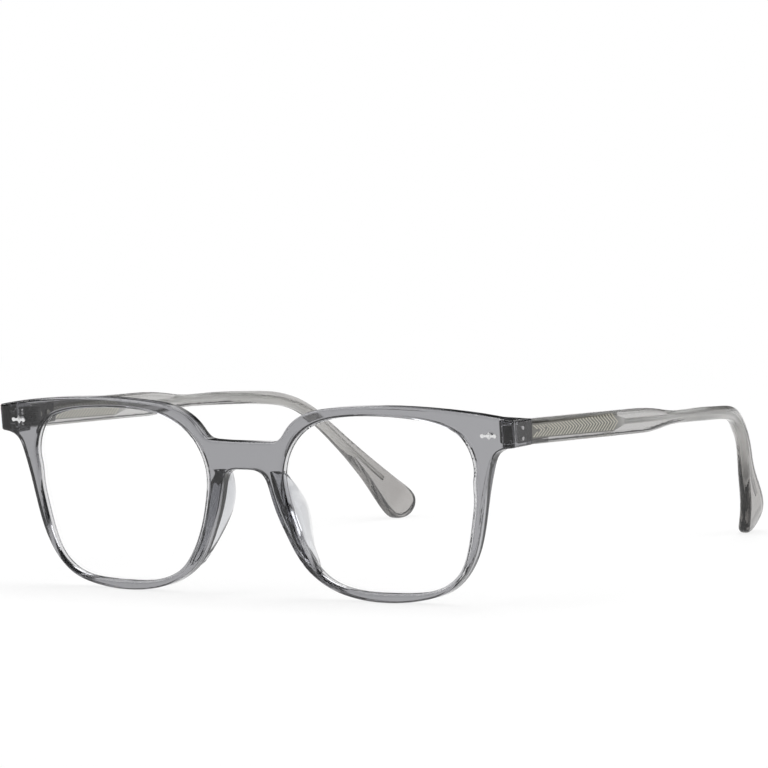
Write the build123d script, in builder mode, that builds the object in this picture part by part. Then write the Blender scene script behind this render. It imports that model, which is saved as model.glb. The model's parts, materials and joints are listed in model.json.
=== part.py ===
from build123d import *

import math
import os

# Square eyeglasses, standing on the bottoms of the rims and the tips of the open temples.
# +X is the wearer's left, -Y the way the front faces, +Z up, and Z = 0 is the table.
# The left pieces are modelled, and the right ones are their mirror images.

os.makedirs("parts", exist_ok=True)

# Driving dimensions, in millimetres and degrees
front_width = 140.6
front_height = 45.6
lens_opening_width = 49.0
lens_opening_height = 40.9
lens_gap = 21.1
rim_below_lens = 2.3
front_thickness = 3.4
front_curve_radius = 570.0
front_lean = 4.95
opening_edge_radius = 0.8
outline_edge_radius = 0.6
rear_edge_radius = 0.4
temple_length = 144.6
temple_thickness = 3.8
temple_end_thickness = 2.9
temple_inset = 17.4
joint_depth = 11.5
hinge_height = 39.6
overall_length = 157.9
brow_reach_share = 0.83

# Clearances shared by all pieces
body_gap = 0.2
running_gap = 0.05
seat_gap = 0.02
overrun = 5.0

# Places worked out from the driving dimensions
half_width = front_width / 2
lens_x = (lens_gap + lens_opening_width) / 2
lens_z = rim_below_lens + lens_opening_height / 2
lean_angle = math.radians(front_lean)
lean_slope = math.tan(lean_angle)
front_reach = brow_reach_share * lean_slope * (front_height - lens_z)
front_y = front_reach - overall_length / 2
joint_y = front_y + joint_depth
temple_y = joint_y + body_gap
ground_y = front_y + lean_slope * lens_z
lean_direction = (0, -math.sin(lean_angle), math.cos(lean_angle))
leaning = Plane(origin=(0, ground_y, 0), x_dir=(1, 0, 0), z_dir=lean_direction)


def curve_rise(x):
    """How far the curved front has come back at a distance from its middle."""
    return x * x / (2 * front_curve_radius)


def front_surface_y(x, z):
    """Depth of the curved, leaning front face at a place on it."""
    return ground_y + curve_rise(x) / math.cos(lean_angle) - z * lean_slope


def scaled(shares, width, height):
    """Points of an outline from shares of its width and height."""
    return [(across * width, up * height) for across, up in shares]


def both_sides(points):
    """A line of points from the middle outward, carried on over the other side."""
    return [(-across, up) for across, up in points[:0:-1]] + points


# Front: elevation outline, in shares of the half width and the height
rim_top_shares = [
    (0.000, 0.799),
    (0.050, 0.799),
    (0.100, 0.801),
    (0.140, 0.812),
    (0.172, 0.866),
    (0.212, 0.922),
    (0.263, 0.960),
    (0.341, 0.983),
    (0.455, 0.996),
    (0.569, 1.000),
    (0.747, 0.989),
    (0.886, 0.968),
    (1.000, 0.939),
    (1.070, 0.918),
]
rim_side_shares = [
    (1.070, 0.804),
    (1.000, 0.803),
    (0.962, 0.796),
    (0.930, 0.769),
    (0.909, 0.702),
    (0.888, 0.581),
    (0.862, 0.395),
    (0.834, 0.259),
    (0.792, 0.150),
    (0.733, 0.070),
    (0.647, 0.023),
    (0.512, 0.0005),
    (0.405, 0.013),
    (0.313, 0.053),
    (0.242, 0.118),
    (0.191, 0.202),
    (0.154, 0.305),
    (0.122, 0.412),
    (0.101, 0.509),
    (0.089, 0.580),
    (0.073, 0.628),
    (0.047, 0.650),
    (0.020, 0.655),
    (0.000, 0.655),
]
end_piece_corner_width = 3.6
end_piece_corner_depth = 1.4
end_piece_inner_radius = 1.0
end_piece_fall_height = 43.5
end_piece_joint_height = 42.6

# Lens opening, in shares of its half width and half height from its centre
opening_shares = [
    (1.000, 0.340),
    (0.983, 0.610),
    (0.872, 0.814),
    (0.665, 0.925),
    (0.400, 0.977),
    (0.050, 1.000),
    (-0.290, 0.984),
    (-0.560, 0.920),
    (-0.790, 0.775),
    (-0.935, 0.560),
    (-1.000, 0.300),
    (-0.975, 0.010),
    (-0.900, -0.310),
    (-0.786, -0.600),
    (-0.625, -0.830),
    (-0.400, -0.955),
    (-0.080, -0.998),
    (0.280, -0.990),
    (0.590, -0.922),
    (0.790, -0.745),
    (0.890, -0.490),
    (0.955, -0.160),
    (0.990, 0.120),
]

# Lens
lens_thickness = 2.0
lens_setback = 0.8
lens_bevel_depth = 0.6
lens_bevel_width = 0.55

# Nose pad: sections from top to bottom, in shares of the pad's reach and depth
pad_top = 29.5
pad_height = 23.0
pad_reach = 18.4
pad_depth = 7.6
pad_sections_share = [
    (0.00, 0.330, 0.425, 0.520, 0.27),
    (0.13, 0.355, 0.462, 0.565, 0.64),
    (0.26, 0.392, 0.520, 0.600, 0.90),
    (0.39, 0.447, 0.573, 0.632, 1.00),
    (0.52, 0.512, 0.620, 0.686, 0.91),
    (0.65, 0.582, 0.680, 0.740, 0.71),
    (0.78, 0.664, 0.757, 0.820, 0.47),
    (0.91, 0.768, 0.852, 0.918, 0.22),
    (1.00, 0.870, 0.925, 0.985, 0.09),
]
pad_crest_share = 0.35
pad_side_share = 0.78
pad_root_depth = 1.0

# Star ornament on each end piece
star_x = 64.4
star_z = 39.4
star_length = 4.0
star_bar_height = 0.55
star_end_radius = 0.48
star_diamond_width = 1.7
star_diamond_height = 2.0
star_bar_thickness = 0.25
star_diamond_thickness = 0.4
star_diamond_taper = 40
star_shank_radius = 0.6
star_shank_length = 2.2

# Hinge
hinge_stack_height = 4.6
knuckle_count = 5
knuckle_radius = 1.3
knuckle_axis_offset = 1.45
knuckle_web_length = 2.0
leaf_thickness = 0.8
leaf_corner_radius = 0.5
leaf_pocket_mouth = 2.0
front_leaf_length = 4.4
temple_leaf_length = 9.6
screw_shank_radius = 0.6
screw_head_radius = 0.95
screw_head_height = 0.5
screw_slot_width = 0.25
screw_slot_depth = 0.22
screw_edge_radius = 0.12
rivet_shank_radius = 0.45
rivet_head_radius = 0.75
rivet_head_height = 0.35
front_rivet_length = 2.8
front_rivet_setback = 3.2
front_rivet_spacing = 2.4
temple_rivet_length = 2.7
temple_rivet_setback = 3.6
temple_rivet_spacing = 3.4

# Temple arm: side outline behind the tall front half, in shares of length and hinge height
arm_joint_top_share = 1.072
arm_joint_bottom_share = 0.924
arm_outline_shares = [
    (0.348, 1.012),
    (0.379, 1.001),
    (0.407, 0.987),
    (0.452, 0.961),
    (0.490, 0.949),
    (0.528, 0.944),
    (0.587, 0.934),
    (0.640, 0.919),
    (0.685, 0.905),
    (0.720, 0.885),
    (0.747, 0.856),
    (0.773, 0.815),
    (0.800, 0.755),
    (0.836, 0.652),
    (0.870, 0.540),
    (0.905, 0.430),
    (0.938, 0.338),
    (0.964, 0.265),
    (0.984, 0.207),
    (0.996, 0.160),
    (1.000, 0.118),
    (0.997, 0.080),
    (0.988, 0.043),
    (0.973, 0.012),
    (0.954, 0.000),
    (0.937, 0.013),
    (0.925, 0.065),
    (0.913, 0.145),
    (0.896, 0.250),
    (0.876, 0.350),
    (0.857, 0.440),
    (0.836, 0.530),
    (0.808, 0.634),
    (0.782, 0.704),
    (0.756, 0.760),
    (0.730, 0.794),
    (0.702, 0.813),
    (0.674, 0.826),
    (0.627, 0.842),
    (0.567, 0.857),
    (0.498, 0.873),
    (0.449, 0.877),
    (0.411, 0.869),
    (0.379, 0.863),
    (0.348, 0.865),
]

# Temple arm: centre line, as shares of length along, of the inset inward and of hinge height up
arm_path_shares = [
    (-0.060, 0.000, 1.016),
    (0.050, 0.000, 0.992),
    (0.150, -0.018, 0.975),
    (0.300, -0.052, 0.950),
    (0.356, -0.060, 0.940),
    (0.420, -0.055, 0.931),
    (0.500, -0.035, 0.915),
    (0.580, -0.001, 0.897),
    (0.650, 0.085, 0.877),
    (0.720, 0.220, 0.841),
    (0.775, 0.351, 0.770),
    (0.817, 0.462, 0.660),
    (0.856, 0.602, 0.515),
    (0.885, 0.703, 0.418),
    (0.915, 0.791, 0.318),
    (0.940, 0.859, 0.245),
    (0.958, 0.918, 0.190),
    (0.978, 1.034, 0.090),
    (1.000, 1.232, -0.030),
]
arm_section_count = 24

# Temple arm: fall of its tail below level, in degrees, and the rounding of its edges
tail_fall = 58
arm_edge_radius = 1.1

# Metal core inside the temple arm
core_thickness = 1.2
core_wire_radius = 0.65
core_setback = 0.9
core_plate_length = 36.0
core_front_height = 3.2
core_rear_height = 4.0
core_shoulder_length = 5.5
core_drop_share = 0.040
core_wire_shares = (0.400, 0.470, 0.540, 0.610, 0.670, 0.720, 0.760, 0.800, 0.840, 0.875, 0.904)
core_bend_share = 0.45
core_fit = 0.03

# Places of the joint and the temple
temple_inner_x = half_width - temple_thickness
temple_mid_x = half_width - temple_thickness / 2
axis_x = temple_inner_x - knuckle_axis_offset
axis_y = joint_y + body_gap / 2
stack_bottom = hinge_height - hinge_stack_height / 2
knuckle_pitch = hinge_stack_height / knuckle_count
inner_face = Plane(origin=(temple_inner_x, 0, 0), x_dir=(0, 1, 0), z_dir=(1, 0, 0))
rest_of_front = Plane.XZ.offset(-joint_y)
band_height = front_height + overrun


def save_pair(piece, name):
    """Write the left piece as it is modelled and the right one as its mirror image."""
    piece.part.label = name + "_left"
    export_step(piece.part, "parts/" + name + "_left.step")
    with BuildPart() as other_side:
        mirror(piece.part, about=Plane.YZ)
    other_side.part.label = name + "_right"
    export_step(other_side.part, "parts/" + name + "_right.step")


# Lens opening and lens
def grown(points, grow):
    """The points of a closed outline, each moved out square to its neighbours' line."""
    moved = []
    for before, point, after in zip(points[-1:] + points[:-1], points, points[1:] + points[:1]):
        along = Vector(after[0] - before[0], after[1] - before[1]).normalized()
        moved.append((point[0] + along.Y * grow, point[1] - along.X * grow))
    return moved


def opening_sketch(grow):
    """The left lens opening's outline, grown by an amount, on a plane behind the front."""
    half_size = (lens_opening_width / 2, lens_opening_height / 2)
    points = [(lens_x + x, lens_z + z) for x, z in scaled(opening_shares, *half_size)]
    with BuildSketch(rest_of_front) as opening:
        with BuildLine():
            Spline(*grown(points, grow), periodic=True)
        make_face()
    return opening.sketch


def curved_band(setback, thickness):
    """Plan of a band that follows the front's curve, from a setback behind its face."""
    near_end = setback + curve_rise(half_width)
    far = setback + thickness
    far_end = far + curve_rise(half_width)
    with BuildSketch() as band:
        with BuildLine():
            ThreePointArc((-half_width, near_end), (0, setback), (half_width, near_end))
            Line((half_width, near_end), (half_width, far_end))
            ThreePointArc((half_width, far_end), (0, far), (-half_width, far_end))
            Line((-half_width, far_end), (-half_width, near_end))
        make_face()
    return leaning * band.sketch


def lens_blank(grow):
    """A bevelled lens that follows the front's curve, grown by a clearance on all sides."""
    outline = opening_sketch(lens_bevel_depth + grow)
    band = curved_band(lens_setback - grow, lens_thickness + 2 * grow)
    with BuildPart() as blank:
        extrude(outline, amount=joint_depth + overrun)
        extrude(band, amount=band_height, both=True, mode=Mode.INTERSECT)
        front_side = blank.faces().sort_by(Axis.Y)[0]
        rear_side = blank.faces().sort_by(Axis.Y)[-1]
        chamfer(front_side.edges() + rear_side.edges(), lens_bevel_width)
    return blank.part


with BuildPart() as lens:
    add(lens_blank(0))
save_pair(lens, "lens")


# Hinge leaves
def leaf_plate(side, length, grow):
    """A leaf's plate on the inner face. Grown, it is the leaf's pocket, open at the joint."""
    run = length + 2 * grow
    middle = axis_y + side * (body_gap / 2 + seat_gap + length / 2)
    with BuildSketch(inner_face) as plate:
        with Locations((middle, hinge_height)):
            RectangleRounded(run, hinge_stack_height + 2 * grow, leaf_corner_radius)
        if grow:
            with Locations((axis_y, hinge_height)):
                Rectangle(leaf_pocket_mouth, hinge_stack_height + 2 * grow)
    return plate.sketch


def hinge_leaf(side, first_knuckle, length, rivet_places):
    """A leaf with its plate let into the acetate and its knuckles round the screw."""
    plate = leaf_plate(side, length, 0)
    web_start = body_gap / 2 + seat_gap
    web_width = knuckle_axis_offset + leaf_thickness
    web_middle = (axis_x + web_width / 2, axis_y + side * (web_start + knuckle_web_length / 2))
    with BuildPart() as leaf:
        extrude(plate, amount=leaf_thickness)
        for level in range(first_knuckle, knuckle_count, 2):
            level_bottom = stack_bottom + knuckle_pitch * level + running_gap / 2
            with BuildSketch(Plane.XY.offset(level_bottom)):
                with Locations((axis_x, axis_y)):
                    Circle(knuckle_radius)
                with Locations(web_middle):
                    Rectangle(web_width, knuckle_web_length)
            extrude(amount=knuckle_pitch - running_gap)
        with BuildSketch(Plane.XY.offset(stack_bottom)):
            with Locations((axis_x, axis_y)):
                Circle(screw_shank_radius + running_gap)
        extrude(amount=hinge_stack_height, mode=Mode.SUBTRACT)
        with BuildSketch(inner_face.offset(-overrun)):
            with Locations(*rivet_places):
                Circle(rivet_shank_radius + seat_gap)
        extrude(amount=leaf_thickness + overrun, mode=Mode.SUBTRACT)
    return leaf


def rivet_group(places, length):
    """Two like rivets with domed heads on a leaf."""
    with BuildPart() as rivets:
        with BuildSketch(inner_face.offset(-rivet_head_height - seat_gap)):
            with Locations(*places):
                Circle(rivet_head_radius)
        extrude(amount=rivet_head_height)
        fillet(rivets.faces().group_by(Axis.X)[0].edges(), rivet_head_height / 2)
        with BuildSketch(inner_face.offset(-rivet_head_height)):
            with Locations(*places):
                Circle(rivet_shank_radius)
        extrude(amount=rivet_head_height + length)
    return rivets


front_rivet_y = joint_y - front_rivet_setback
front_rivet_places = [
    (front_rivet_y, hinge_height - front_rivet_spacing / 2),
    (front_rivet_y, hinge_height + front_rivet_spacing / 2),
]
temple_rivet_y = temple_y + temple_rivet_setback
temple_rivet_places = [
    (temple_rivet_y, hinge_height),
    (temple_rivet_y + temple_rivet_spacing, hinge_height),
]

front_leaf = hinge_leaf(-1, 0, front_leaf_length, front_rivet_places)
temple_leaf = hinge_leaf(1, 1, temple_leaf_length, temple_rivet_places)

# The top front knuckle is counterbored for the screw's head
with BuildPart() as front_hinge_leaf:
    add(front_leaf.part)
    with BuildSketch(Plane.XY.offset(stack_bottom + hinge_stack_height - screw_head_height)):
        with Locations((axis_x, axis_y)):
            Circle(screw_head_radius + running_gap)
    extrude(amount=screw_head_height, mode=Mode.SUBTRACT)
save_pair(front_hinge_leaf, "front_hinge_leaf")
save_pair(temple_leaf, "temple_hinge_leaf")

front_rivets = rivet_group(front_rivet_places, front_rivet_length)
save_pair(front_rivets, "front_hinge_rivets")
temple_rivets = rivet_group(temple_rivet_places, temple_rivet_length)
save_pair(temple_rivets, "temple_hinge_rivets")

# Hinge screw
with BuildPart() as hinge_screw:
    with BuildSketch(Plane.XY.offset(stack_bottom)):
        with Locations((axis_x, axis_y)):
            Circle(screw_shank_radius)
    extrude(amount=hinge_stack_height)
    with BuildSketch(Plane.XY.offset(stack_bottom + hinge_stack_height - screw_head_height + seat_gap)):
        with Locations((axis_x, axis_y)):
            Circle(screw_head_radius)
    extrude(amount=screw_head_height)
    fillet(hinge_screw.faces().sort_by(Axis.Z)[-1].edges(), screw_edge_radius)
    fillet(hinge_screw.faces().sort_by(Axis.Z)[0].edges(), screw_edge_radius)
    with BuildSketch(Plane.XY.offset(hinge_screw.part.bounding_box().max.Z - screw_slot_depth)):
        with Locations((axis_x, axis_y)):
            Rectangle(2 * screw_head_radius, screw_slot_width)
    extrude(amount=screw_slot_depth, mode=Mode.SUBTRACT)
save_pair(hinge_screw, "hinge_screw")

# Star ornament: a bar with round ends and a diamond, on the face of the end piece
star_normal = (star_x / front_curve_radius, -1, -lean_slope)
star_along = (1, star_x / front_curve_radius, 0)
star_place = (star_x, front_surface_y(star_x, star_z), star_z)
star_face = Plane(origin=star_place, x_dir=star_along, z_dir=star_normal)
star_bar_length = star_length - 2 * star_end_radius

with BuildPart() as star:
    with BuildSketch(star_face.offset(seat_gap)):
        Rectangle(star_bar_length, star_bar_height)
        with Locations((-star_bar_length / 2, 0), (star_bar_length / 2, 0)):
            Circle(star_end_radius)
    extrude(amount=star_bar_thickness)
    with BuildSketch(star_face.offset(seat_gap)):
        with BuildLine():
            Polyline(
                (star_diamond_width / 2, 0),
                (0, star_diamond_height / 2),
                (-star_diamond_width / 2, 0),
                (0, -star_diamond_height / 2),
                close=True,
            )
        make_face()
    extrude(amount=star_diamond_thickness, taper=star_diamond_taper)
    with BuildSketch(star_face.offset(seat_gap)):
        Circle(star_shank_radius)
    extrude(amount=-star_shank_length)
save_pair(star, "star_ornament")


# Nose pad
def pad_section(height_share, inner_share, crest_share, outer_share, depth_share):
    """One level section of the nose pad, from behind the rim's rear face to its crest."""
    height = pad_top - height_share * pad_height
    inner = inner_share * pad_reach
    crest = crest_share * pad_reach
    outer = outer_share * pad_reach
    root = front_surface_y(crest, height) + front_thickness
    depth = depth_share * pad_depth
    half_crest = pad_crest_share * (outer - inner) / 2
    side_y = root + depth * pad_side_share
    with BuildSketch(Plane.XY.offset(height)) as section:
        with BuildLine():
            Line((inner, root - pad_root_depth), (outer, root - pad_root_depth))
            Spline(
                (outer, root - pad_root_depth),
                ((outer + crest + half_crest) / 2, side_y),
                (crest, root + depth),
                ((inner + crest - half_crest) / 2, side_y),
                (inner, root - pad_root_depth),
                tangents=[(0, 1), (0, -1)],
            )
        make_face()
    return section.sketch


pad_sections = [pad_section(*row) for row in pad_sections_share]
behind_front = curved_band(front_thickness + seat_gap, joint_depth + overrun)
with BuildPart() as nose_pad:
    loft(pad_sections)
    extrude(behind_front, amount=band_height, both=True, mode=Mode.INTERSECT)
save_pair(nose_pad, "nose_pad")


# Front frame
def front_plan():
    """Plan of the front: the curved face bar with both end pieces turned back."""
    turn_x = half_width - end_piece_corner_width
    turn_start = curve_rise(turn_x)
    turn_slope = turn_x / front_curve_radius
    turn_end = turn_start + end_piece_corner_depth
    far_end = front_thickness + curve_rise(temple_inner_x)
    back = joint_depth + 2 * overrun
    with BuildSketch() as plan:
        with BuildLine():
            ThreePointArc((-turn_x, turn_start), (0, 0), (turn_x, turn_start))
            Spline(
                (turn_x, turn_start),
                (half_width, turn_end),
                tangents=[(1, turn_slope), (0, 1)],
            )
            Line((half_width, turn_end), (half_width, back))
            Line((half_width, back), (temple_inner_x, back))
            Line((temple_inner_x, back), (temple_inner_x, far_end))
            ThreePointArc(
                (temple_inner_x, far_end), (0, front_thickness), (-temple_inner_x, far_end)
            )
            Line((-temple_inner_x, far_end), (-temple_inner_x, back))
            Line((-temple_inner_x, back), (-half_width, back))
            Line((-half_width, back), (-half_width, turn_end))
            Spline(
                (-half_width, turn_end),
                (-turn_x, turn_start),
                tangents=[(0, -1), (1, -turn_slope)],
            )
        make_face()
        inner_corners = [v for v in plan.vertices() if abs(v.Y - far_end) < seat_gap]
        fillet(inner_corners, end_piece_inner_radius)
    return leaning * plan.sketch


def front_elevation():
    """Outline of the front seen from ahead, without the lens openings."""
    top_points = both_sides(scaled(rim_top_shares, half_width, front_height))
    low_points = both_sides(scaled(rim_side_shares[::-1], half_width, front_height))
    with BuildSketch(rest_of_front) as elevation:
        with BuildLine():
            Spline(*top_points)
            Line(top_points[-1], low_points[-1])
            Spline(*low_points)
            Line(low_points[0], top_points[0])
        make_face()
    return elevation.sketch


def rivet_bores(places):
    """Bores for rivets, as circles on the inner face."""
    with BuildSketch(inner_face) as bores:
        with Locations(*places):
            Circle(rivet_shank_radius + seat_gap)
    return bores.sketch


def end_piece_fall():
    """What is cut off both end pieces so that their tops fall to the temples, seen from the side."""
    start_y = front_surface_y(temple_inner_x, end_piece_fall_height) + front_thickness
    with BuildSketch(Plane.YZ) as fall:
        with BuildLine():
            Polyline(
                (start_y, end_piece_fall_height),
                (joint_y, end_piece_joint_height),
                (joint_y + overrun, end_piece_joint_height),
                (joint_y + overrun, band_height),
                (start_y, band_height),
                close=True,
            )
        make_face()
    return fall.sketch


front_outline = front_elevation()
end_fall = end_piece_fall()
front_bar = front_plan()
opening = opening_sketch(0)
front_leaf_seat = leaf_plate(-1, front_leaf_length, seat_gap)
front_bores = rivet_bores(front_rivet_places)

# What is cut out of the front's left side: lens groove, leaf pocket and bores
with BuildPart() as front_seats:
    add(lens_blank(seat_gap))
    extrude(front_leaf_seat, amount=leaf_thickness + seat_gap, both=True)
    extrude(front_bores, amount=front_rivet_length + seat_gap)
    with BuildSketch(star_face.offset(star_bar_thickness)):
        Circle(star_shank_radius + seat_gap)
    extrude(amount=-(star_bar_thickness + star_shank_length + seat_gap))


def broad_face(side):
    """The front face (side 0) or the rear face (side -1) of the front as it stands."""
    return front_frame.faces().sort_by(SortBy.AREA)[-2:].sort_by(Axis.Y)[side]


def runs_level(edge):
    """True for an edge along the outline, false for an upright seam or a joint edge."""
    size = edge.bounding_box().size
    is_upright = size.X < seat_gap and size.Z > front_thickness
    return not is_upright and size.Y > seat_gap


with BuildPart() as front_frame:
    extrude(front_outline, amount=joint_depth + overrun)
    extrude(front_bar, amount=band_height, both=True, mode=Mode.INTERSECT)
    extrude(opening, amount=joint_depth + overrun, mode=Mode.SUBTRACT)
    extrude(opening.mirror(Plane.YZ), amount=joint_depth + overrun, mode=Mode.SUBTRACT)

    # Round the edges of the lens openings, ahead and behind
    fillet([e for e in broad_face(0).edges() if e.is_closed], opening_edge_radius)
    fillet([e for e in broad_face(-1).edges() if e.is_closed], rear_edge_radius)

    # Round the outline's front edges, on round the end pieces to the joint
    end_faces = [f for f in front_frame.faces() if abs(f.center().X) > temple_mid_x + seat_gap]
    end_faces = [f for f in end_faces if abs(f.normal_at().Z) < lean_slope]
    rounded = []
    for part_face in [broad_face(0)] + end_faces:
        for edge in part_face.edges():
            is_new = not any(edge.is_same(other) for other in rounded)
            if is_new and runs_level(edge) and not edge.is_closed:
                rounded.append(edge)
    fillet(rounded, outline_edge_radius)
    fillet([e for e in broad_face(-1).edges() if runs_level(e) and not e.is_closed], rear_edge_radius)

    extrude(end_fall, amount=half_width + overrun, both=True, mode=Mode.SUBTRACT)
    add(front_seats.part, mode=Mode.SUBTRACT)
    add(front_seats.part.mirror(Plane.YZ), mode=Mode.SUBTRACT)

front_frame.part.label = "front_frame"
export_step(front_frame.part, "parts/front_frame.step")

# Temple arm: centre line in space
with BuildLine() as arm_centre:
    Spline(
        *[
            (
                temple_mid_x - inward * temple_inset,
                temple_y + along * temple_length,
                up * hinge_height,
            )
            for along, inward, up in arm_path_shares
        ]
    )

# The arm bends inward square to its tail's fall
fall_angle = math.radians(tail_fall)
falling = Vector(0, math.cos(fall_angle), -math.sin(fall_angle))
square_to_fall = (0, math.sin(fall_angle), math.cos(fall_angle))
bend_place = (0, temple_y, hinge_height)
bend_plane = Plane(origin=bend_place, x_dir=(1, 0, 0), z_dir=square_to_fall)


def arm_face_points(side):
    """The arm's outer face (side 1) or inner face (side -1), seen square to the tail's fall."""
    points = []
    for step in range(arm_section_count + 1):
        share = step / arm_section_count
        place = arm_centre.line @ share
        run = arm_centre.line % share
        thickness = temple_thickness + share * (temple_end_thickness - temple_thickness)
        fallen = (place - Vector(bend_place)).dot(falling)
        across = Vector(run.dot(falling), -run.X, 0).normalized() * (side * thickness / 2)
        points.append((place.X + across.X, fallen + across.Y))
    return points


def arm_band_outline():
    """The arm seen square to its tail's fall, a band that bends inward and thins to the tip."""
    outer_points = arm_face_points(1)
    inner_points = arm_face_points(-1)
    with BuildSketch(bend_plane.offset(-overrun)) as band:
        with BuildLine():
            Spline(*outer_points)
            Line(outer_points[-1], inner_points[-1])
            Spline(*inner_points)
            Line(inner_points[0], outer_points[0])
        make_face()
    return band.sketch


def arm_elevation():
    """Side outline of the temple arm, from the joint round the tip and back."""
    outline = [
        (temple_y + along * temple_length, up * hinge_height)
        for along, up in arm_outline_shares
    ]
    joint_top = (temple_y, arm_joint_top_share * hinge_height)
    joint_bottom = (temple_y, arm_joint_bottom_share * hinge_height)
    with BuildSketch(Plane.YZ) as elevation:
        with BuildLine():
            Line(joint_bottom, joint_top)
            Line(joint_top, outline[0])
            Spline(*outline)
            Line(outline[-1], joint_bottom)
        make_face()
    return elevation.sketch


# Core of the temple: a plate behind the joint that narrows to a wire, which runs to the tip
plate_run = arm_centre.line @ core_wire_shares[0] - Vector(temple_mid_x, temple_y, 0)
core_face = Plane(
    origin=(temple_mid_x, temple_y, 0),
    x_dir=(plate_run.X, plate_run.Y, 0),
    z_dir=(plate_run.Y, -plate_run.X, 0),
)
core_shoulder = core_setback + core_plate_length
core_neck = core_shoulder + core_shoulder_length
core_drop = core_drop_share * hinge_height / core_shoulder


def bend_radii(corners):
    """The largest even bends for a wire through these corners, one for each inner corner."""
    radii = []
    for before, corner, after in zip(corners, corners[1:], corners[2:]):
        run_in = corner - before
        run_out = after - corner
        half_turn = math.radians(run_in.get_angle(run_out)) / 2
        shorter = min(run_in.length, run_out.length)
        radii.append(core_bend_share * shorter / math.tan(half_turn))
    return radii


def core_blank(grow):
    """The core, grown by a clearance on all sides."""
    places = [
        (core_setback, core_front_height / 2),
        (core_shoulder, core_rear_height / 2),
        (core_neck, core_wire_radius),
    ]
    middles = [hinge_height - run * core_drop for run, half_height in places]
    upper = [(run, middle + half) for (run, half), middle in zip(places, middles)]
    lower = [(run, middle - half) for (run, half), middle in zip(places, middles)]
    with BuildSketch(core_face) as plate:
        with BuildLine():
            Polyline(*upper, *lower[::-1], close=True)
        make_face()
        if grow:
            offset(amount=grow, kind=Kind.INTERSECTION)
    wire_start = core_face.from_local_coords(Vector(core_neck - core_wire_radius, middles[-1], 0))
    wire_corners = [wire_start] + [arm_centre.line @ share for share in core_wire_shares]
    with BuildLine() as wire_path:
        FilletPolyline(*wire_corners, radius=bend_radii(wire_corners))
    with BuildPart() as blank:
        extrude(plate.sketch, amount=core_thickness / 2 + grow, both=True)
        with BuildSketch(Plane(origin=wire_path.line @ 0, z_dir=wire_path.line % 0)):
            Circle(core_wire_radius + grow)
        sweep(path=wire_path.line)
    return blank.part


temple_bores = rivet_bores(temple_rivet_places)
with BuildPart() as temple_core:
    add(core_blank(0))
    extrude(temple_bores, amount=temple_thickness, mode=Mode.SUBTRACT)
save_pair(temple_core, "temple_core")

arm_outline = arm_elevation()
arm_band = arm_band_outline()
temple_leaf_seat = leaf_plate(1, temple_leaf_length, seat_gap)
with BuildPart() as temple_arm:
    extrude(arm_outline, amount=half_width + overrun)
    extrude(arm_band, amount=temple_length, mode=Mode.INTERSECT)
    side_faces = temple_arm.faces().sort_by(SortBy.AREA)[-2:]
    long_edges = [e for e in side_faces.edges() if e.center().Y > temple_y + body_gap]
    fillet(long_edges, arm_edge_radius)
    add(core_blank(core_fit), mode=Mode.SUBTRACT)
    extrude(temple_leaf_seat, amount=leaf_thickness + seat_gap, both=True, mode=Mode.SUBTRACT)
    extrude(temple_bores, amount=temple_rivet_length + seat_gap, mode=Mode.SUBTRACT)
save_pair(temple_arm, "temple_arm")
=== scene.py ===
# %% [markdown]
# # Square eyeglasses in clear grey acetate
#
# The glasses stand on a pale table with both temples open. Their front and temples are cut from
# cellulose acetate, a clear plastic that is tinted through. Almost all of their look is light that
# goes through them, so the work here is in what light meets on the way: the depth of the plastic,
# the polished rims, and the silver metal that lies inside the temples.

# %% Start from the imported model
import json
import math

import bpy
import numpy as np
from mathutils import Matrix, Vector
from mathutils.bvhtree import BVHTree

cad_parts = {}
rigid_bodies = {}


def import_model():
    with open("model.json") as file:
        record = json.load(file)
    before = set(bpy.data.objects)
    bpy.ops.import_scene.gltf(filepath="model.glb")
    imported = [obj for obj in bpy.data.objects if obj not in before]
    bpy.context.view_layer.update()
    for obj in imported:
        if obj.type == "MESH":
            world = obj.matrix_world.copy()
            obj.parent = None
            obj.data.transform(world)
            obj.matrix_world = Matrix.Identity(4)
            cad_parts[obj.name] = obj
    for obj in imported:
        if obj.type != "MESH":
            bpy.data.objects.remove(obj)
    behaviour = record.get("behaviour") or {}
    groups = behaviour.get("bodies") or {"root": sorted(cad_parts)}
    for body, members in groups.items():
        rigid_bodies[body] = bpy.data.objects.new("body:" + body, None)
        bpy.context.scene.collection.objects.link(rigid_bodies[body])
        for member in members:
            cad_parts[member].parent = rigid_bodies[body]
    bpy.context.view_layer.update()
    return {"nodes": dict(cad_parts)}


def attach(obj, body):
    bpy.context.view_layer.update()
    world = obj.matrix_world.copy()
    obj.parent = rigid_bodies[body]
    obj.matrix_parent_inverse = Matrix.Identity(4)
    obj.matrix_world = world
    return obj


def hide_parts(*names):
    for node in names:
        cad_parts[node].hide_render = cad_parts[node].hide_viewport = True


for leftover in list(bpy.data.objects):
    bpy.data.objects.remove(leftover)
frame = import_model()
nodes = frame["nodes"]
MM = 0.001
SIDES = ("left", "right")

# %% [markdown]
# ## The camera
#
# The photograph is taken from the wearer's left, a little above the table, with a long lens. A
# camera can be placed by its angles round a point on the object. Here that point is the middle of
# the front's face, and the camera is then turned a little, so that the glasses lie low and left
# in the picture as they do in the photograph, without any lens shift.

# %% Place the camera
IMAGE_PIXELS = 768
FOCAL_PIXELS = 5964
SENSOR_WIDTH_MM = 36.0
camera_azimuth = math.radians(33.06)
camera_height_angle = math.radians(6.48)
camera_roll = math.radians(-1.67)
camera_distance = 1.3755
front_middle = Vector((0, -77.18, 21.27)) * MM
front_middle_pixel = (245.4, 506.6)


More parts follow.
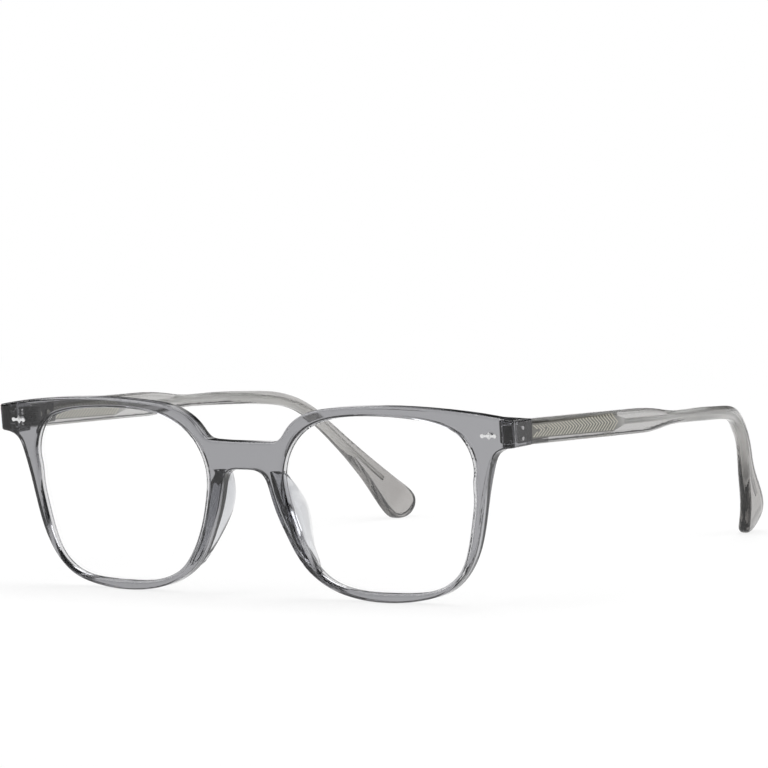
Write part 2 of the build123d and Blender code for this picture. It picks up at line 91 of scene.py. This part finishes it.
def camera_frame():
    """The camera's place, and its right, up and forward directions, towards the picture's centre."""
    flat = math.cos(camera_height_angle)
    back = Vector((math.sin(camera_azimuth) * flat, -math.cos(camera_azimuth) * flat,
                   math.sin(camera_height_angle)))
    level_right = Vector((math.cos(camera_azimuth), math.sin(camera_azimuth), 0))
    level_up = back.cross(level_right)
    right = level_right * math.cos(camera_roll) + level_up * math.sin(camera_roll)
    up = level_up * math.cos(camera_roll) - level_right * math.sin(camera_roll)
    aside = (IMAGE_PIXELS / 2 - front_middle_pixel[0]) / FOCAL_PIXELS
    above = (front_middle_pixel[1] - IMAGE_PIXELS / 2) / FOCAL_PIXELS
    forward = (right * aside + up * above - back).normalized()
    right = (right - forward * right.dot(forward)).normalized()
    return front_middle + back * camera_distance, right, right.cross(forward), forward


camera_place, camera_right, camera_up, camera_forward = camera_frame()
camera_data = bpy.data.cameras.new("camera")
camera_data.sensor_width = SENSOR_WIDTH_MM
camera_data.lens = FOCAL_PIXELS / IMAGE_PIXELS * SENSOR_WIDTH_MM
camera_data.clip_end = 50
camera = bpy.data.objects.new("camera", camera_data)
bpy.context.scene.collection.objects.link(camera)
camera_turn = Matrix((camera_right, camera_up, -camera_forward)).transposed().to_4x4()
camera.matrix_world = Matrix.Translation(camera_place) @ camera_turn
bpy.context.scene.camera = camera
print("lens mm:", round(camera_data.lens, 1), "camera:", [round(c, 3) for c in camera_place])

# %% [markdown]
# ## Colours and nodes
#
# Colours are written as the hex values that a screen shows. Shaders work in linear light, so one
# function turns them. Another adds a node, with its settings and its links, so that each material
# below reads as a short list.

# %% Helpers for materials


def linear(hex_colour):
    """An sRGB hex colour as linear red, green, blue and alpha."""
    parts = [int(hex_colour[i:i + 2], 16) / 255 for i in (1, 3, 5)]
    light = [c / 12.92 if c <= 0.04045 else ((c + 0.055) / 1.055) ** 2.4 for c in parts]
    return (*light, 1.0)


def add_node(tree, kind, settings=None, inputs=None, links=None):
    """A node with its settings, its input values, and its links from other nodes' outputs."""
    node = tree.nodes.new(kind)
    for name, value in (settings or {}).items():
        setattr(node, name, value)
    for name, value in (inputs or {}).items():
        node.inputs[name].default_value = value
    for name, source in (links or {}).items():
        tree.links.new(source, node.inputs[name])
    return node


def new_material(name):
    """An empty node material and its output node."""
    material = bpy.data.materials.new(name)
    material.use_nodes = True
    material.node_tree.nodes.clear()
    return material, add_node(material.node_tree, "ShaderNodeOutputMaterial")


# The colour sockets of a Mix node have no names of their own
MIX_A, MIX_B = 6, 7


def colour_along_y(tree, place, from_mm, to_mm, front_colour, back_colour):
    """A colour that turns from one to the other between two places along the piece."""
    parts = add_node(tree, "ShaderNodeSeparateXYZ", links={"Vector": place.outputs["Object"]})
    share = add_node(tree, "ShaderNodeMapRange",
                     inputs={"From Min": from_mm * MM, "From Max": to_mm * MM},
                     links={"Value": parts.outputs["Y"]})
    mixed = add_node(tree, "ShaderNodeMix", {"data_type": "RGBA"},
                     links={"Factor": share.outputs["Result"]})
    mixed.inputs[MIX_A].default_value = linear(front_colour)
    mixed.inputs[MIX_B].default_value = linear(back_colour)
    return mixed.outputs[2]


# %% [markdown]
# ## Acetate
#
# The sheet is tinted all through, so a thin place is pale and a deep one is dark. A see-through
# shader alone can't do that. Volume absorption can, because light loses a share for each
# millimetre that it travels inside. The surface is clear, polished in a tumbling drum, with very
# faint waves that the drum leaves.

# %% Acetate of the front, the temples and the pads
ACETATE_IOR = 1.49
# Length and height of the waves that the polishing drum leaves
POLISH_WAVE_MM = 6.0
POLISH_HEIGHT_MM = 0.02
POLISH_STRENGTH = 0.06
# The loss of the most absorbed colour stays below the density, so that the colour stays above black
DENSITY_MARGIN = 1.25
MM_PER_UNIT = 1000.0
# Where along the temple its tint starts to deepen, and where it is deepest. In the photograph the
# tails read darker than their depth alone makes them.
TAIL_START_MM = 15.0
TAIL_END_MM = 75.0


def tinted_acetate(name, tint, depth_mm, roughness=0.03, tail_tint=None):
    """Clear acetate that shows the tint once light has gone depth_mm through it."""
    material, output = new_material(name)
    tree = material.node_tree
    place = add_node(tree, "ShaderNodeTexCoord")
    waves = add_node(tree, "ShaderNodeTexNoise",
                     inputs={"Scale": MM_PER_UNIT / POLISH_WAVE_MM, "Detail": 1.0},
                     links={"Vector": place.outputs["Object"]})
    bump = add_node(tree, "ShaderNodeBump",
                    inputs={"Strength": POLISH_STRENGTH, "Distance": POLISH_HEIGHT_MM * MM},
                    links={"Height": waves.outputs["Fac"]})
    surface = add_node(
        tree, "ShaderNodeBsdfPrincipled",
        inputs={"Base Color": (1, 1, 1, 1), "Roughness": roughness, "IOR": ACETATE_IOR,
                "Transmission Weight": 1.0},
        links={"Normal": bump.outputs["Normal"]})
    if tail_tint:
        clear_to_tail = colour_along_y(tree, place, TAIL_START_MM, TAIL_END_MM, "#ffffff", tail_tint)
        tree.links.new(clear_to_tail, surface.inputs["Base Color"])
    kept = linear(tint)[:3]
    losses = [-math.log(c) / (depth_mm * MM) for c in kept]
    density = max(losses) * DENSITY_MARGIN
    colour = tuple(1 - loss / density for loss in losses)
    absorption = add_node(tree, "ShaderNodeVolumeAbsorption",
                          inputs={"Color": (*colour, 1.0), "Density": density})
    tree.links.new(surface.outputs[0], output.inputs["Surface"])
    tree.links.new(absorption.outputs[0], output.inputs["Volume"])
    print(name, "absorbs", [round(loss) for loss in losses], "per metre")
    return material


# Cut from a darker sheet than the temples: it shows a cool mid grey through its full depth
front_acetate = tinted_acetate("grey_acetate_front", "#a2a2a5", 3.35)
# Pale enough that the metal inside stays clear to see
temple_acetate = tinted_acetate("grey_acetate_temple", "#c8c7c6", 3.6, tail_tint="#cdcac8")
# Almost clear, and tumbled a little less bright, so the pads show as pale veils behind the rims
pad_acetate = tinted_acetate("pale_acetate_pads", "#d2d3d6", 4.0, roughness=0.05)

# %% [markdown]
# ## Lenses
#
# The lenses are clear plastic with an anti-reflective coat, so they give back far less light than
# bare plastic would, and are seen mostly by the bevel at the rim.

# %% Coated lens
LENS_IOR = 1.5
# A bare surface has a level of 0.5; the coat takes away over half of what it would reflect
COATED_SPECULAR = 0.2


def coated_lens():
    """Clear lens plastic, with the weak reflection that its coat leaves."""
    material, output = new_material("coated_lens")
    tree = material.node_tree
    surface = add_node(
        tree, "ShaderNodeBsdfPrincipled",
        inputs={"Base Color": (1, 1, 1, 1), "Roughness": 0.0, "IOR": LENS_IOR,
                "Transmission Weight": 1.0, "Specular IOR Level": COATED_SPECULAR})
    tree.links.new(surface.outputs[0], output.inputs["Surface"])
    return material


lens_plastic = coated_lens()

# %% [markdown]
# ## Metals
#
# The stars are plated silver, stamped and polished. The hinges and the cores in the temples are
# nickel silver, a pale alloy, brushed or tumbled, and the hinges carry a dark colour that is
# painted shade. All three are one kind of material with another grain: a fine noise, drawn out
# along the piece where it is brushed. The core's plate is darker than its wire, because the rolling
# leaves dull hollows between the bright ridges.

# %% Silver and nickel silver
# Where the core's plate ends behind the hinge, and how long its shoulder is
PLATE_END_Y_MM = -29.5
SHOULDER_LENGTH_MM = 5.5
# How deep the grain is, how strongly it shows, and how far it takes the roughness down and up
GRAIN_DEPTH_MM = 0.02
GRAIN_STRENGTH = 0.3
SMOOTHEST, ROUGHEST = 0.8, 1.3


def pale_metal(name, colour, roughness, grain_mm, stretch=1.0, front_colour=None):
    """A metal with a fine grain, drawn out along Y by the stretch, and its plate's own colour."""
    material, output = new_material(name)
    tree = material.node_tree
    place = add_node(tree, "ShaderNodeTexCoord")
    drawn = add_node(tree, "ShaderNodeMapping", inputs={"Scale": (1, 1 / stretch, 1)},
                     links={"Vector": place.outputs["Object"]})
    grain = add_node(tree, "ShaderNodeTexNoise",
                     inputs={"Scale": MM_PER_UNIT / grain_mm, "Detail": 3.0},
                     links={"Vector": drawn.outputs["Vector"]})
    shine = add_node(tree, "ShaderNodeMapRange",
                     inputs={"To Min": roughness * SMOOTHEST, "To Max": roughness * ROUGHEST},
                     links={"Value": grain.outputs["Fac"]})
    bump = add_node(tree, "ShaderNodeBump",
                    inputs={"Strength": GRAIN_STRENGTH, "Distance": GRAIN_DEPTH_MM * MM},
                    links={"Height": grain.outputs["Fac"]})
    surface = add_node(tree, "ShaderNodeBsdfPrincipled",
                       inputs={"Base Color": linear(colour), "Metallic": 1.0},
                       links={"Roughness": shine.outputs["Result"], "Normal": bump.outputs["Normal"]})
    if front_colour:
        shoulder_end = PLATE_END_Y_MM + SHOULDER_LENGTH_MM
        plate_to_wire = colour_along_y(tree, place, PLATE_END_Y_MM, shoulder_end, front_colour, colour)
        tree.links.new(plate_to_wire, surface.inputs["Base Color"])
    tree.links.new(surface.outputs[0], output.inputs["Surface"])
    return material


# Small stamped stars with soft edges: evenly bright from every side
plated_silver = pale_metal("plated_silver", "#f2f2f2", 0.5, 0.5)
# Leaves and screws, with painted shade: their dark colour stands in for the shade that makes the end
# pieces dark
hinge_metal_painted_shade = pale_metal("nickel_hinge_painted_shade", "#5c5b5a", 0.42, 0.3)
# Rivet heads, polished with the acetate: bright dots on the dark leaves
rivet_nickel = pale_metal("bright_nickel_rivets", "#f0efed", 0.16, 0.3)
# Drawn wire, brushed along its length, with a plate that is dull behind the hinge
core_nickel = pale_metal("nickel_silver_core", "#f4f4f2", 0.42, 0.25, stretch=8.0,
                         front_colour="#a8a69e")
# The ridges of the zigzag, rubbed bright by the roller
zigzag_nickel = pale_metal("bright_nickel_zigzag", "#fbf8ea", 0.30, 0.25)

# %% [markdown]
# ## Acetate without the gap round the metal
#
# In the model the metal lies in the acetate with a hair of clearance, as separate solids need. In the
# real temple the core is shot into hot acetate and the plastic closes round it. Light shows the
# difference: a gap acts as a mirror all round the metal. So each acetate piece is made again from
# its own faces, without the walls that face the metal inside it.

# %% Take off the walls that face the metal
# A little more than the clearance between acetate and metal, and how finely vertices are told apart
GAP_MM = 0.09
WELD_DECIMALS = 7


def loose_patches(mesh):
    """For each triangle, the number of the smooth patch that it belongs to."""
    owner = list(range(len(mesh.vertices)))

    def root(v):
        while owner[v] != v:
            owner[v] = owner[owner[v]]
            v = owner[v]
        return v

    for face in mesh.polygons:
        first = root(face.vertices[0])
        for other in face.vertices[1:]:
            owner[root(other)] = first
    return [root(face.vertices[0]) for face in mesh.polygons]


def tree_of(names):
    """A search tree over the surfaces of some pieces."""
    points, faces = [], []
    for name in names:
        mesh = nodes[name].data
        start = len(points)
        points += [v.co.copy() for v in mesh.vertices]
        faces += [[start + i for i in face.vertices] for face in mesh.polygons]
    return BVHTree.FromPolygons(points, faces)


def without_lining(name, metal_names, body):
    """The acetate piece again, its normals kept, without the patches that line its metal."""
    source = nodes[name].data
    metal = tree_of(metal_names)
    near = [metal.find_nearest(v.co)[3] < GAP_MM * MM for v in source.vertices]
    patches = loose_patches(source)
    lining = set(patches) - {patch for patch, face in zip(patches, source.polygons)
                             if not all(near[i] for i in face.vertices)}
    kept = [face for patch, face in zip(patches, source.polygons) if patch not in lining]
    rounded = np.round([v.co for v in source.vertices], WELD_DECIMALS)
    welded, spot = np.unique(rounded, axis=0, return_inverse=True)
    spot = spot.ravel()
    corners = [tuple(int(spot[i]) for i in face.vertices) for face in kept]
    whole = [n for n, corner in enumerate(corners) if len(set(corner)) == 3]
    normals = [source.corner_normals[i].vector.copy() for n in whole for i in kept[n].loop_indices]
    corners = [corners[n] for n in whole]
    caps = open_loops(corners)
    for cap in caps:
        across = cap_normal(welded, cap)
        normals += [across] * len(cap)
    mesh = bpy.data.meshes.new(name + "_clear")
    mesh.from_pydata(welded.tolist(), [], corners + caps)
    mesh.shade_smooth()
    mesh.normals_split_custom_set(normals)
    piece = bpy.data.objects.new(name + "_clear", mesh)
    bpy.context.scene.collection.objects.link(piece)
    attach(piece, body)
    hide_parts(name)
    print(name, "faces:", len(corners), "patches off:", len(lining), "holes closed:", len(caps))
    return piece


def open_loops(corners):
    """The loops of edges that only one face uses, turned so that they close the surface."""
    once = {}
    for a, b, c in corners:
        for start, end in ((a, b), (b, c), (c, a)):
            if (end, start) in once:
                del once[(end, start)]
            else:
                once[(start, end)] = True
    following = {end: start for start, end in once}
    loops = []
    while following:
        start = next(iter(following))
        loop = [start]
        step = following.pop(start)
        while step != start and step in following:
            loop.append(step)
            step = following.pop(step)
        if len(loop) > 2:
            loops.append(tuple(loop))
    return loops


def cap_normal(points, loop):
    """The direction that a flat cap faces."""
    around = [Vector(points[i]) for i in loop]
    total = Vector((0, 0, 0))
    for a, b in zip(around, around[1:] + around[:1]):
        total += a.cross(b)
    return total.normalized()


for side in SIDES:
    arm = without_lining("temple_arm_" + side, ["temple_core_" + side, "temple_hinge_rivets_" + side],
                         side + "_temple")
    arm.data.materials.append(temple_acetate)
front = without_lining(
    "front_frame",
    [piece + side for piece in ("front_hinge_rivets_", "star_ornament_") for side in SIDES],
    "front")
front.data.materials.append(front_acetate)

# %% [markdown]
# ## The other pieces keep their own shape
#
# Lenses, pads, stars, hinges and cores are right as they are. They only get their finish.

# %% Finishes for the pieces that stay
finishes = {
    "lens": lens_plastic,
    "nose_pad": pad_acetate,
    "star_ornament": plated_silver,
    "front_hinge_leaf": hinge_metal_painted_shade,
    "temple_hinge_leaf": hinge_metal_painted_shade,
    "front_hinge_rivets": rivet_nickel,
    "temple_hinge_rivets": core_nickel,
    "hinge_screw": hinge_metal_painted_shade,
    "temple_core": core_nickel,
}
for name, finish in finishes.items():
    for side in SIDES:
        slots = nodes[name + "_" + side].material_slots
        for slot in slots:
            slot.material = finish
print("finished:", ", ".join(finishes))

# %% [markdown]
# ## The zigzag on the cores
#
# Each core is a flat plate behind the hinge, rolled with a row of small V shapes that all point to
# the ear. It is a common pattern on temple cores. One V repeated at even steps is a job for
# Geometry Nodes: the tree lays points in a line, puts a V on each, and makes it as tall as the
# plate is there. The plate's place is measured on the core itself.

# %% Find the core plates
# Step from V to V as measured in the photograph, width of a stroke, and how far a V's tip reaches
V_PITCH_MM = 1.3
V_STROKE_MM = 0.6
V_REACH_MM = 2.4
# How far a ridge stands out of the plate's face, and how far it goes in, so that no gap shows
V_RAISED_MM = 0.05
V_SUNK_MM = 0.02
# What stays plain along the plate's edges, and the half height of the last V, next to the wire
PLATE_MARGIN_MM = 0.25
SHOULDER_END_HALF_MM = 0.3
# A face this much turned to the side belongs to the plate's broad sides
BROAD_FACE = 0.9
PLATE_END_BAND_MM = 0.3


def core_plate(side):
    """The plate's start, its directions along, outward and up, and its size, in metres."""
    mesh = nodes["temple_core_" + side].data
    broad = [f for f in mesh.polygons
             if abs(f.normal.x) > BROAD_FACE and f.center.y < PLATE_END_Y_MM * MM]
    outer = [f for f in broad if f.normal.x > 0]
    outward = sum((f.normal * f.area for f in outer), Vector()).normalized()
    outward.z = 0
    along = Vector((0, 0, 1)).cross(outward).normalized()
    if along.y < 0:
        along = -along
    spots = [mesh.vertices[i].co for f in broad for i in f.vertices]
    runs = [spot.dot(along) for spot in spots]
    outs = [spot.dot(outward) for spot in spots]
    first, last = min(runs), max(runs)
    ends = []
    for run in (first, last):
        close = [spot.z for spot, r in zip(spots, runs) if abs(r - run) < PLATE_END_BAND_MM * MM]
        ends.append((min(close), max(close)))
    return {"along": along, "outward": outward, "first": first, "last": last, "ends": ends,
            "middle": (min(outs) + max(outs)) / 2, "half_thickness": (max(outs) - min(outs)) / 2}


plates = {side: core_plate(side) for side in SIDES}
for side, plate in plates.items():
    print(side, "plate length mm:", round((plate["last"] - plate["first"]) / MM, 2),
          "heights mm:", [round((top - low) / MM, 2) for low, top in plate["ends"]],
          "thickness mm:", round(2 * plate["half_thickness"] / MM, 2))

# %% One V, and the tree that repeats it


def one_v(half_thickness):
    """A V of unit half height that points along X, on both faces of the plate."""
    stroke, tip = V_STROKE_MM * MM, V_REACH_MM * MM
    outline = [(0, 1), (stroke, 1), (tip + stroke, 0), (stroke, -1), (0, -1), (tip, 0)]
    points, faces = [], []
    for face_side in (1, -1):
        low = face_side * (half_thickness - V_SUNK_MM * MM)
        high = face_side * (half_thickness + V_RAISED_MM * MM)
        start = len(points)
        points += [(x, low, z) for x, z in outline] + [(x, high, z) for x, z in outline]
        rings = [(0, 1, 2, 5), (5, 2, 3, 4)]
        walls = [(i, (i + 1) % 6, (i + 1) % 6 + 6, i + 6) for i in range(6)]
        lids = [tuple(i + 6 for i in ring[::-1]) for ring in rings]
        made = rings + lids + [wall[::-1] for wall in walls]
        faces += [tuple(start + i for i in (face if face_side < 0 else face[::-1])) for face in made]
    mesh = bpy.data.meshes.new("one_v")
    mesh.from_pydata(points, [], faces)
    return mesh


def zigzag_tree():
    """Geometry Nodes: the input V, repeated along X, as tall as the plate and its shoulder are."""
    tree = bpy.data.node_groups.new("rolled_zigzag", "GeometryNodeTree")
    sockets = tree.interface
    sockets.new_socket("Geometry", in_out="INPUT", socket_type="NodeSocketGeometry")
    for name in ("Pitch", "Fall", "First Half Height", "Last Half Height", "End Half Height"):
        sockets.new_socket(name, in_out="INPUT", socket_type="NodeSocketFloat")
    for name in ("Count", "Shoulder Starts At"):
        sockets.new_socket(name, in_out="INPUT", socket_type="NodeSocketInt")
    sockets.new_socket("Finish", in_out="INPUT", socket_type="NodeSocketMaterial")
    sockets.new_socket("Geometry", in_out="OUTPUT", socket_type="NodeSocketGeometry")
    given = add_node(tree, "NodeGroupInput").outputs
    step = add_node(tree, "ShaderNodeCombineXYZ", links={"X": given["Pitch"], "Z": given["Fall"]})
    row = add_node(tree, "GeometryNodeMeshLine",
                   links={"Count": given["Count"], "Offset": step.outputs[0]})
    number = add_node(tree, "GeometryNodeInputIndex")
    on_plate = add_node(tree, "ShaderNodeMapRange",
                        links={"Value": number.outputs[0], "From Max": given["Shoulder Starts At"],
                               "To Min": given["First Half Height"],
                               "To Max": given["Last Half Height"]})
    on_shoulder = add_node(tree, "ShaderNodeMapRange",
                           links={"Value": number.outputs[0], "From Min": given["Shoulder Starts At"],
                                  "From Max": given["Count"], "To Min": given["Last Half Height"],
                                  "To Max": given["End Half Height"]})
    height = add_node(tree, "ShaderNodeMath", {"operation": "MINIMUM"},
                      links={0: on_plate.outputs["Result"], 1: on_shoulder.outputs["Result"]})
    stretch = add_node(tree, "ShaderNodeCombineXYZ", inputs={"X": 1.0, "Y": 1.0},
                       links={"Z": height.outputs[0]})
    placed = add_node(tree, "GeometryNodeInstanceOnPoints",
                      links={"Points": row.outputs["Mesh"], "Instance": given["Geometry"],
                             "Scale": stretch.outputs[0]})
    real = add_node(tree, "GeometryNodeRealizeInstances",
                    links={"Geometry": placed.outputs["Instances"]})
    finished = add_node(tree, "GeometryNodeSetMaterial",
                        links={"Geometry": real.outputs["Geometry"], "Material": given["Finish"]})
    add_node(tree, "NodeGroupOutput", links={"Geometry": finished.outputs["Geometry"]})
    return tree


zigzag = zigzag_tree()
print("tree inputs:", [item.name for item in zigzag.interface.items_tree if item.in_out == "INPUT"])

# %% Lay the zigzag on both plates


def lay_zigzag(side):
    """The row of V shapes of one temple, as a plain mesh in its place on the plate."""
    plate = plates[side]
    low_first, top_first = plate["ends"][0]
    low_last, top_last = plate["ends"][1]
    length = plate["last"] - plate["first"]
    margin = PLATE_MARGIN_MM * MM
    on_plate = int((length - 2 * margin) / (V_PITCH_MM * MM))
    on_shoulder = int((SHOULDER_LENGTH_MM - V_REACH_MM - V_STROKE_MM) / V_PITCH_MM)
    count = on_plate + on_shoulder
    values = {
        "Pitch": V_PITCH_MM * MM,
        "Fall": ((low_last + top_last) - (low_first + top_first)) / 2 / length * V_PITCH_MM * MM,
        "First Half Height": (top_first - low_first) / 2 - margin,
        "Last Half Height": (top_last - low_last) / 2 - margin,
        "End Half Height": SHOULDER_END_HALF_MM * MM,
        "Shoulder Starts At": on_plate,
        "Count": count,
        "Finish": zigzag_nickel,
    }
    maker = bpy.data.objects.new("zigzag_maker", one_v(plate["half_thickness"]))
    bpy.context.scene.collection.objects.link(maker)
    modifier = maker.modifiers.new("zigzag", "NODES")
    modifier.node_group = zigzag
    for item in zigzag.interface.items_tree:
        if item.in_out == "INPUT" and item.name in values:
            modifier[item.identifier] = values[item.name]
    graph = bpy.context.evaluated_depsgraph_get()
    mesh = bpy.data.meshes.new_from_object(maker.evaluated_get(graph))
    maker.modifiers.remove(modifier)
    bpy.data.objects.remove(maker)
    up = Vector((0, 0, 1))
    start = plate["along"] * (plate["first"] + margin) + plate["outward"] * plate["middle"]
    start += up * (low_first + top_first) / 2
    turn = Matrix((plate["along"], plate["outward"], up)).transposed().to_4x4()
    mesh.transform(Matrix.Translation(start) @ turn)
    if turn.to_3x3().determinant() < 0:
        mesh.flip_normals()
    piece = bpy.data.objects.new("core_zigzag_" + side, mesh)
    bpy.context.scene.collection.objects.link(piece)
    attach(piece, side + "_temple")
    print(piece.name, "shapes:", count, "faces:", len(mesh.polygons))


for side in SIDES:
    lay_zigzag(side)

# %% [markdown]
# ## Table and light
#
# The photograph has a white ground with only a trace of shadow. The table is a matt white board,
# but a matt board under soft light is never quite white. So for rays from the camera, and for the
# rays that go on through plastic or off metal, most of the board's colour is plain white, and the
# rest is the lit board, which keeps a faint shadow. Far from the glasses it is all plain white.

# %% Table
# Side of the board in metres, so wide that its edge lies at the horizon, and its paint's whiteness
TABLE_SIZE = 30.0
BOARD_WHITENESS = 0.94
# How much of the board is plain white near the glasses, and where it starts to be all white
TABLE_WHITE_SHARE = 0.8
NEAR_RADIUS = 0.15
FAR_RADIUS = 0.60


def add_seen_rays(tree):
    """An output that is 1 for camera, glossy and transmitted rays, and 0 for all others."""
    path = add_node(tree, "ShaderNodeLightPath")
    seen = path.outputs["Is Camera Ray"]
    for kind in ("Is Glossy Ray", "Is Transmission Ray"):
        seen = add_node(tree, "ShaderNodeMath", {"operation": "MAXIMUM"},
                        links={0: seen, 1: path.outputs[kind]}).outputs[0]
    return seen


def white_table():
    """Matt white board, shown mostly as plain white."""
    material, output = new_material("matt_white_board")
    tree = material.node_tree
    board = add_node(tree, "ShaderNodeBsdfDiffuse", inputs={"Color": (*[BOARD_WHITENESS] * 3, 1.0)})
    plain = add_node(tree, "ShaderNodeEmission",
                     inputs={"Color": (1, 1, 1, 1), "Strength": 1.0})
    place = add_node(tree, "ShaderNodeTexCoord")
    distance = add_node(tree, "ShaderNodeVectorMath", {"operation": "LENGTH"},
                        links={0: place.outputs["Object"]})
    white_share = add_node(tree, "ShaderNodeMapRange",
                           inputs={"From Min": NEAR_RADIUS, "From Max": FAR_RADIUS,
                                   "To Min": TABLE_WHITE_SHARE, "To Max": 1.0},
                           links={"Value": distance.outputs["Value"]})
    share = add_node(tree, "ShaderNodeMath", {"operation": "MULTIPLY"},
                     links={0: add_seen_rays(tree), 1: white_share.outputs["Result"]})
    mixed = add_node(tree, "ShaderNodeMixShader",
                     links={0: share.outputs[0], 1: board.outputs[0], 2: plain.outputs[0]})
    tree.links.new(mixed.outputs[0], output.inputs["Surface"])
    return material


table_mesh = bpy.data.meshes.new("table")
half = TABLE_SIZE / 2
table_corners = [(-half, -half, 0), (half, -half, 0), (half, half, 0), (-half, half, 0)]
table_mesh.from_pydata(table_corners, [], [(0, 1, 2, 3)])
table = bpy.data.objects.new("table", table_mesh)
bpy.context.scene.collection.objects.link(table)
table_mesh.materials.append(white_table())
print("table:", TABLE_SIZE, "m wide")

# %% [markdown]
# The studio above the table is what the polished plastic bends into its edges. A plain white sky
# leaves them pale and soft. A darker sky with a few bright soft boxes draws them: most edges go
# dark, and a few catch a bright line. The sky is the same for every ray, and white at the horizon,
# where a low camera could see it.

# %% Studio sky
# Height of each stop, as the upward share of its direction, and its brightness
SKY_BANDS = [(0.0, 1.0), (0.06, 0.9), (0.10, 0.04), (0.30, 0.04), (0.36, 1.0), (0.50, 1.0),
             (0.56, 0.04), (0.82, 0.04), (0.90, 0.9)]
scene = bpy.context.scene
scene.view_settings.view_transform = "Standard"
sky = bpy.data.worlds.new("studio_sky")
scene.world = sky
sky.use_nodes = True
sky_tree = sky.node_tree
sky_tree.nodes.clear()
sky_output = add_node(sky_tree, "ShaderNodeOutputWorld")
sky_place = add_node(sky_tree, "ShaderNodeTexCoord")
sky_parts = add_node(sky_tree, "ShaderNodeSeparateXYZ",
                     links={"Vector": sky_place.outputs["Generated"]})
sky_shade = add_node(sky_tree, "ShaderNodeValToRGB", links={"Fac": sky_parts.outputs["Z"]})
stops = sky_shade.color_ramp.elements
while len(stops) < len(SKY_BANDS):
    stops.new(1.0)
for stop, (height, shade) in zip(stops, SKY_BANDS):
    stop.position = height
    stop.color = (shade, shade, shade, 1)
sky_light = add_node(sky_tree, "ShaderNodeBackground", inputs={"Strength": 1.0},
                     links={"Color": sky_shade.outputs["Color"]})
sky_tree.links.new(sky_light.outputs[0], sky_output.inputs["Surface"])
print("sky bands:", len(SKY_BANDS))

# %% Soft boxes
# Place and size in metres, and power in watts, of each soft box; all of them face the glasses
soft_boxes = {
    "soft_box_left": ((-0.9, -0.5, 1.0), 0.9, 6.8),
    "soft_box_right": ((1.0, 0.2, 0.9), 0.8, 6.8),
    "soft_box_top": ((0.0, 0.3, 1.4), 0.8, 6.8),
}
for name, (place, size, power) in soft_boxes.items():
    lamp = bpy.data.lights.new(name, "AREA")
    lamp.size = size
    lamp.energy = power
    box = bpy.data.objects.new(name, lamp)
    box.location = place
    box.rotation_euler = (-Vector(place)).to_track_quat("-Z", "Y").to_euler()
    bpy.context.scene.collection.objects.link(box)
print("soft boxes:", ", ".join(soft_boxes))
